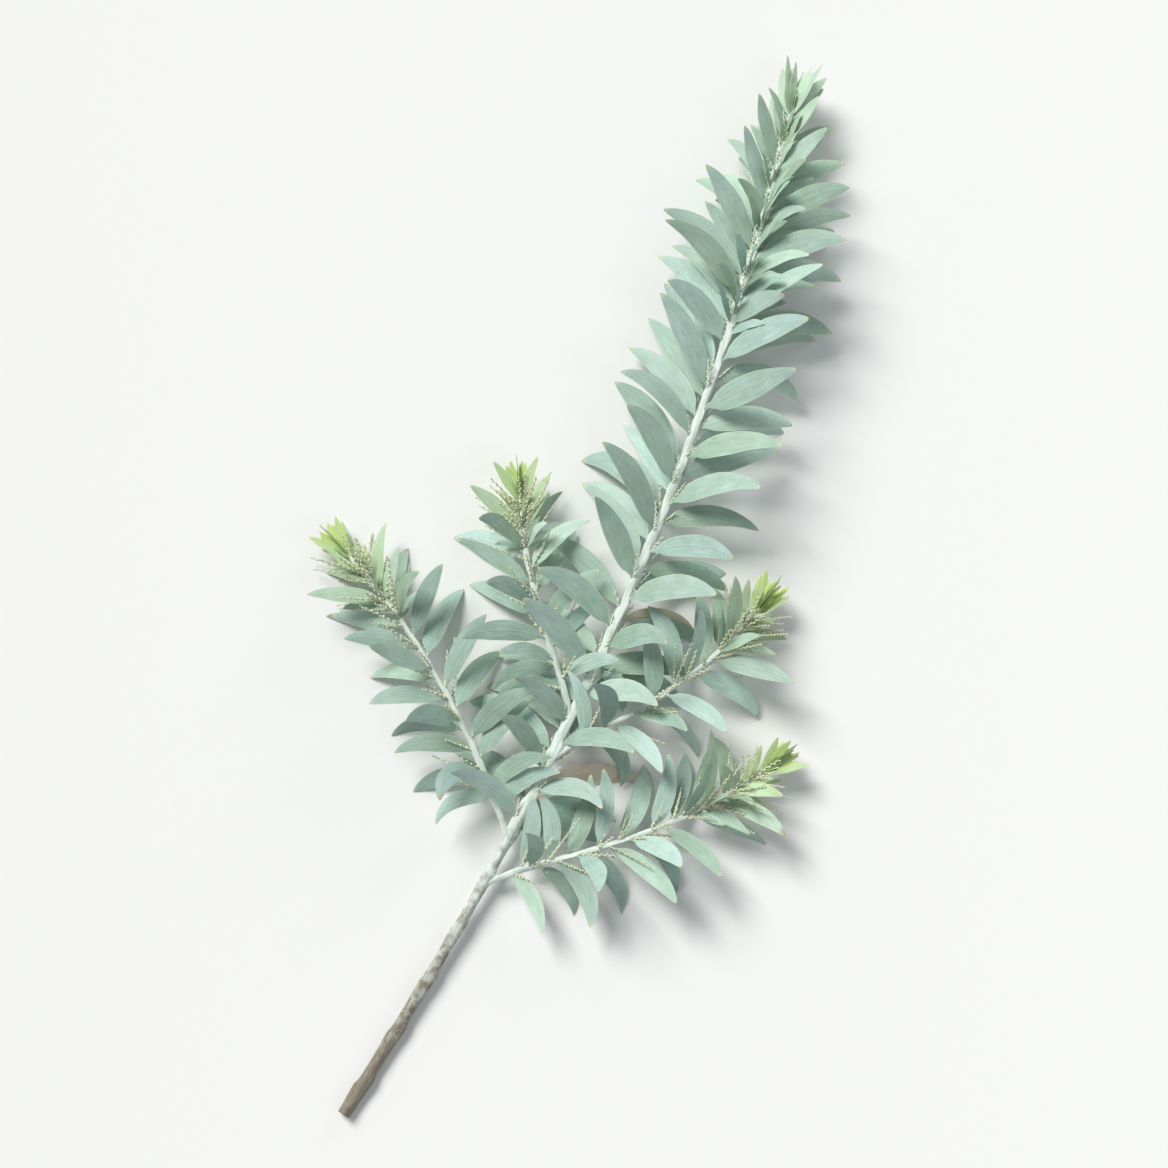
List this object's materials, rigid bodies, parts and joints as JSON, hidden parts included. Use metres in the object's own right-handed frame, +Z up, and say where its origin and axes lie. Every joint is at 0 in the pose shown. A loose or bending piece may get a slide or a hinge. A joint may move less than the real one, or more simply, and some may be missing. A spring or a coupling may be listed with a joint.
{
  "type": "acacia stem",
  "caption": "Cut stem of silver-leaved acacia lying on its side: a woody stalk with leafy side shoots, curved blue-grey leaves, yellow-green growing tips and sprays of small flower buds.",
  "frame": {"origin": "on the surface that the stem lies on, under the middle of its box", "axes": "+Y along the stem, from its cut end to its growing tip; +Z up; +X to the right when looking towards the tip"},
  "size_m": [0.3747, 0.7879, 0.0845],
  "materials": {
    "leafy_stem": "matt blue-grey leaves with a waxy bloom, on silvery ridged bark",
    "young_leaves": "soft yellow-green young leaves",
    "flower_buds": "pale cream-green unopened buds"
  },
  "bodies": {
    "root": {"main_stem": "leafy_stem", "side_shoot_1": "leafy_stem", "side_shoot_2": "leafy_stem", "side_shoot_3": "leafy_stem", "side_shoot_4": "leafy_stem", "main_tip": "young_leaves", "shoot_tip_1": "young_leaves", "shoot_tip_2": "young_leaves", "shoot_tip_3": "young_leaves", "shoot_tip_4": "young_leaves", "bud_raceme_01": "flower_buds", "bud_raceme_02": "flower_buds", "bud_raceme_03": "flower_buds", "bud_raceme_04": "flower_buds", "bud_raceme_05": "flower_buds", "bud_raceme_06": "flower_buds", "bud_raceme_07": "flower_buds", "bud_raceme_08": "flower_buds", "bud_raceme_09": "flower_buds", "bud_raceme_10": "flower_buds", "bud_raceme_11": "flower_buds", "bud_raceme_12": "flower_buds", "bud_raceme_13": "flower_buds", "bud_raceme_14": "flower_buds", "bud_raceme_15": "flower_buds", "bud_raceme_16": "flower_buds", "bud_raceme_17": "flower_buds", "bud_raceme_18": "flower_buds", "bud_raceme_19": "flower_buds", "bud_raceme_20": "flower_buds", "bud_raceme_21": "flower_buds", "bud_raceme_22": "flower_buds", "bud_raceme_23": "flower_buds", "bud_raceme_24": "flower_buds", "bud_raceme_25": "flower_buds", "bud_raceme_26": "flower_buds", "bud_raceme_27": "flower_buds", "bud_raceme_28": "flower_buds", "bud_raceme_29": "flower_buds", "bud_raceme_30": "flower_buds", "bud_raceme_31": "flower_buds", "bud_raceme_32": "flower_buds", "bud_raceme_33": "flower_buds", "bud_raceme_34": "flower_buds", "bud_raceme_35": "flower_buds", "bud_raceme_36": "flower_buds", "bud_raceme_37": "flower_buds", "bud_raceme_38": "flower_buds", "bud_raceme_39": "flower_buds", "bud_raceme_40": "flower_buds", "bud_raceme_41": "flower_buds", "bud_raceme_42": "flower_buds", "bud_raceme_43": "flower_buds", "bud_raceme_44": "flower_buds", "bud_raceme_45": "flower_buds", "bud_raceme_46": "flower_buds"}
  },
  "joints": []
}
